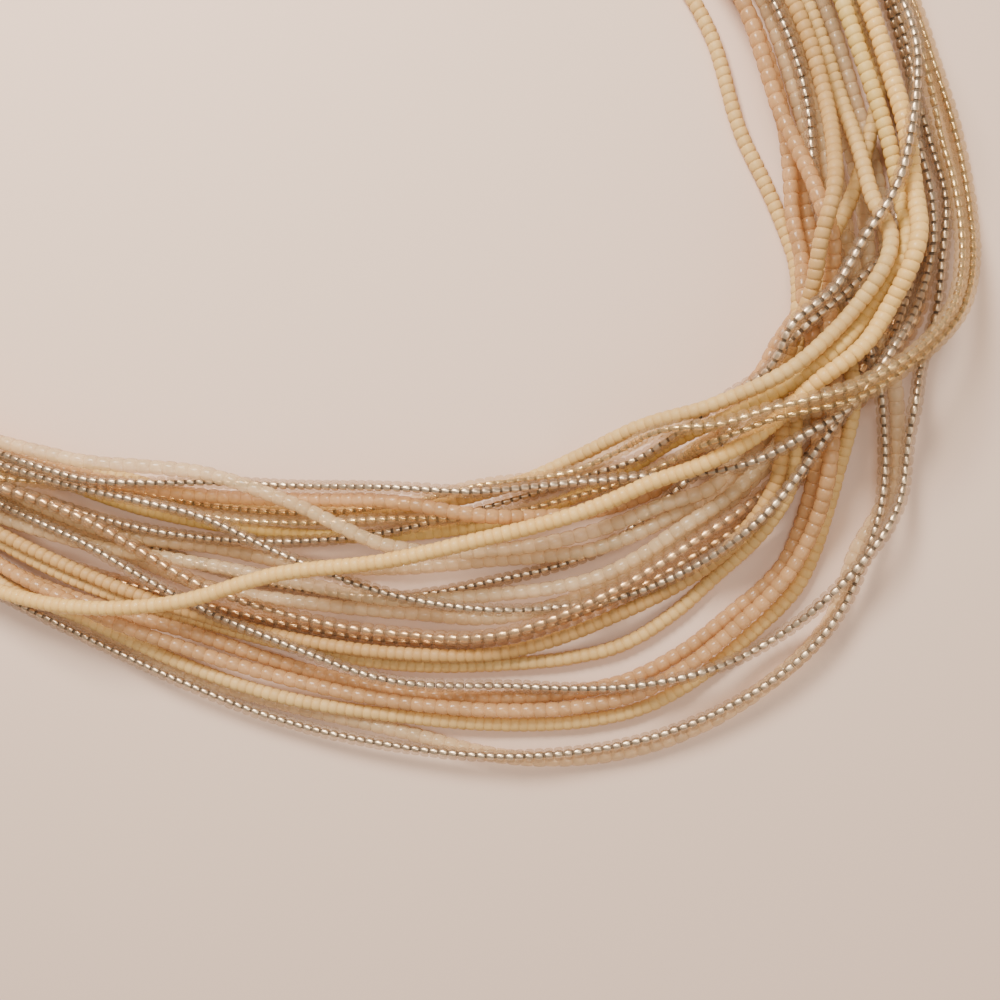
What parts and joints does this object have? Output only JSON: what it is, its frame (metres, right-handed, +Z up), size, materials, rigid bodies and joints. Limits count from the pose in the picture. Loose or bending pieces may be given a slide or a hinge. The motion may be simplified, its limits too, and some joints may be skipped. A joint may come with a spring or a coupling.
{
  "type": "multi strand necklace",
  "caption": "Closed loop necklace of many thin bead strands wound loosely over and under one another, with a plain bar clasp at the back.",
  "frame": {"origin": "centre of the bounding box in plan, on the surface the necklace lies on", "axes": "+X along the longest side of the loop, +Z up off the surface, the clasp towards -X and +Y"},
  "size_m": [0.1988, 0.1696, 0.0176],
  "materials": {
    "silver_lined_glass": "clear glass beads with a bright silver lining",
    "clear_glass": "clear to milky translucent glass beads",
    "ivory_glass": "opaque glossy ivory glass beads",
    "cream_glass": "waxy opaque cream glass beads",
    "tan_glass": "waxy tan glass beads",
    "yellow_glass": "waxy pale yellow glass beads",
    "pink_glass": "milky peach pink glass beads",
    "gold_lined_glass": "clear glass beads with a gold lining",
    "rose_lined_glass": "clear glass beads with a rose gold lining",
    "clasp_metal": "plain satin metal"
  },
  "bodies": {
    "root": {"silver_strand_1": "silver_lined_glass", "silver_strand_2": "silver_lined_glass", "silver_strand_3": "silver_lined_glass", "silver_strand_4": "silver_lined_glass", "silver_strand_5": "silver_lined_glass", "silver_strand_6": "silver_lined_glass", "clear_strand_1": "clear_glass", "clear_strand_2": "clear_glass", "clear_strand_3": "clear_glass", "clear_strand_4": "clear_glass", "clear_strand_5": "clear_glass", "ivory_strand": "ivory_glass", "cream_strand_1": "cream_glass", "cream_strand_2": "cream_glass", "cream_strand_3": "cream_glass", "tan_strand": "tan_glass", "yellow_strand": "yellow_glass", "pink_strand_1": "pink_glass", "pink_strand_2": "pink_glass", "pink_strand_3": "pink_glass", "gold_strand_1": "gold_lined_glass", "gold_strand_2": "gold_lined_glass", "rose_strand_1": "rose_lined_glass", "rose_strand_2": "rose_lined_glass", "clasp": "clasp_metal"}
  },
  "joints": []
}
